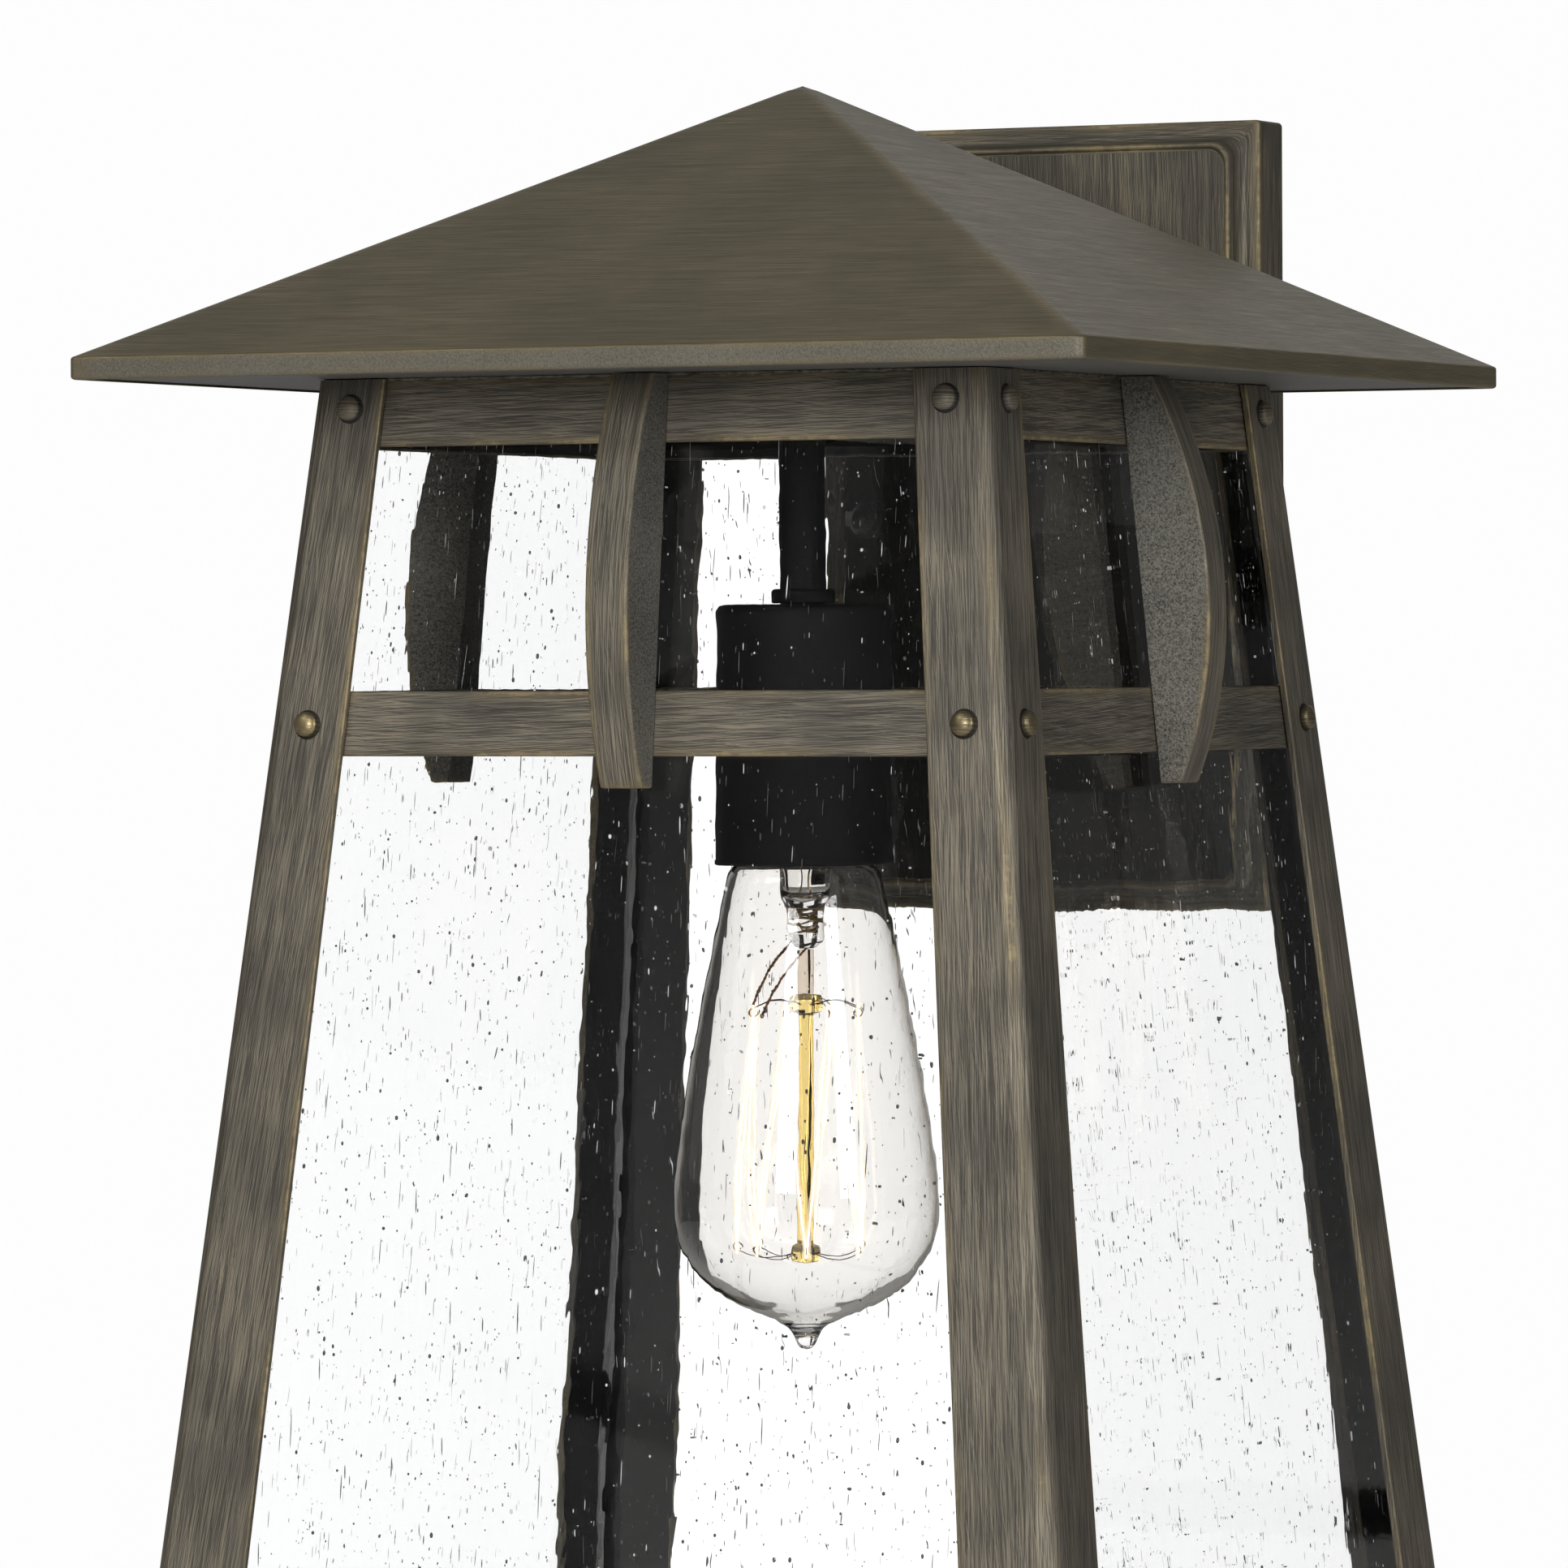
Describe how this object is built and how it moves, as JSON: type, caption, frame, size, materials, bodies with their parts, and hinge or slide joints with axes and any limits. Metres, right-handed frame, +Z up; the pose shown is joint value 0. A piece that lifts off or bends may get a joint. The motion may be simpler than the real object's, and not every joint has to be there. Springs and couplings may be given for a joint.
{
  "type": "outdoor wall lantern",
  "caption": "Flared square wall lantern with a pyramid roof, seeded glass, bowed brackets, riveted rails and a filament bulb, hung close to a stepped wall plate.",
  "frame": {"origin": "centre of the mounting bar's rear face, on the wall, at the middle of the wall plate", "axes": "+Z up, +Y into the wall, -Y out of the wall towards the front of the lantern, +X to the right as seen from the front"},
  "size_m": [0.258, 0.288, 0.4298],
  "materials": {
    "burnished_bronze": "dark bronze finish, burnished along the members and rubbed through to gold on the edges",
    "black_paint": "satin black",
    "seeded_glass": "clear, seeded with small bubbles",
    "bulb_glass": "clear, faintly warm",
    "brass": "plain",
    "zinc_plated_steel": "zinc plated",
    "nickel_shell": "nickel plated",
    "porcelain": "glazed",
    "foam_rubber": "closed cell foam",
    "filament": "thin carbon-coloured wire",
    "black_lead": "insulated lamp wire",
    "white_lead": "insulated lamp wire",
    "copper": "bare copper ground wire"
  },
  "bodies": {
    "lantern": {"roof_cover": "burnished_bronze", "roof_soffit": "burnished_bronze", "leg_front_right": "burnished_bronze", "leg_back_right": "burnished_bronze", "leg_back_left": "burnished_bronze", "leg_front_left": "burnished_bronze", "top_rail_front": "burnished_bronze", "top_rail_right": "burnished_bronze", "top_rail_back": "burnished_bronze", "top_rail_left": "burnished_bronze", "mid_rail_front": "burnished_bronze", "mid_rail_right": "burnished_bronze", "mid_rail_back": "burnished_bronze", "mid_rail_left": "burnished_bronze", "bottom_rail_front": "burnished_bronze", "bottom_rail_right": "burnished_bronze", "bottom_rail_back": "burnished_bronze", "bottom_rail_left": "burnished_bronze", "bracket_front": "burnished_bronze", "bracket_left": "burnished_bronze", "bracket_right": "burnished_bronze", "glass_ledge": "burnished_bronze", "rivet_top_front_left": "burnished_bronze", "rivet_top_front_right": "burnished_bronze", "rivet_top_right_front": "burnished_bronze", "rivet_top_right_back": "burnished_bronze", "rivet_mid_front_left": "burnished_bronze", "rivet_mid_front_right": "burnished_bronze", "rivet_mid_right_front": "burnished_bronze", "rivet_mid_right_back": "burnished_bronze", "wall_plate": "burnished_bronze", "wall_arm": "burnished_bronze", "cap_nut_left": "burnished_bronze", "cap_nut_right": "burnished_bronze", "glass_front": "seeded_glass", "glass_right": "seeded_glass", "glass_back": "seeded_glass", "glass_left": "seeded_glass", "wall_gasket": "foam_rubber", "mounting_bar": "zinc_plated_steel", "mounting_stud_left": "zinc_plated_steel", "mounting_stud_right": "zinc_plated_steel", "stem_nut": "zinc_plated_steel", "cup_nut": "zinc_plated_steel", "ground_screw": "brass", "socket_thread_shell": "brass", "socket_contact": "brass", "stem_tube": "black_paint", "stem_collar": "black_paint", "socket_cup": "black_paint", "socket_body": "porcelain", "lead_black": "black_lead", "lead_white": "white_lead", "lead_ground": "copper"},
    "bulb_tip": {"bulb_contact": "nickel_shell"},
    "bulb": {"bulb_insulator": "black_paint", "bulb_base": "nickel_shell", "bulb_glass": "bulb_glass", "bulb_stem": "bulb_glass", "bulb_filament": "filament"}
  },
  "joints": [
    {"name": "bulb_feed", "type": "slide", "parent": "lantern", "child": "bulb_tip", "axis": [0, 0, -1], "range_m": [0, 0.0109]},
    {"name": "bulb_turn", "type": "hinge", "parent": "bulb_tip", "child": "bulb", "pos_m": [0, -0.159, -0.0491], "axis": [0, 0, -1], "range_deg": [0, 1080]}
  ],
  "couplings": [
    {"joint": "bulb_feed", "follows": "bulb_turn", "m_per_rad": 0.0005777}
  ]
}
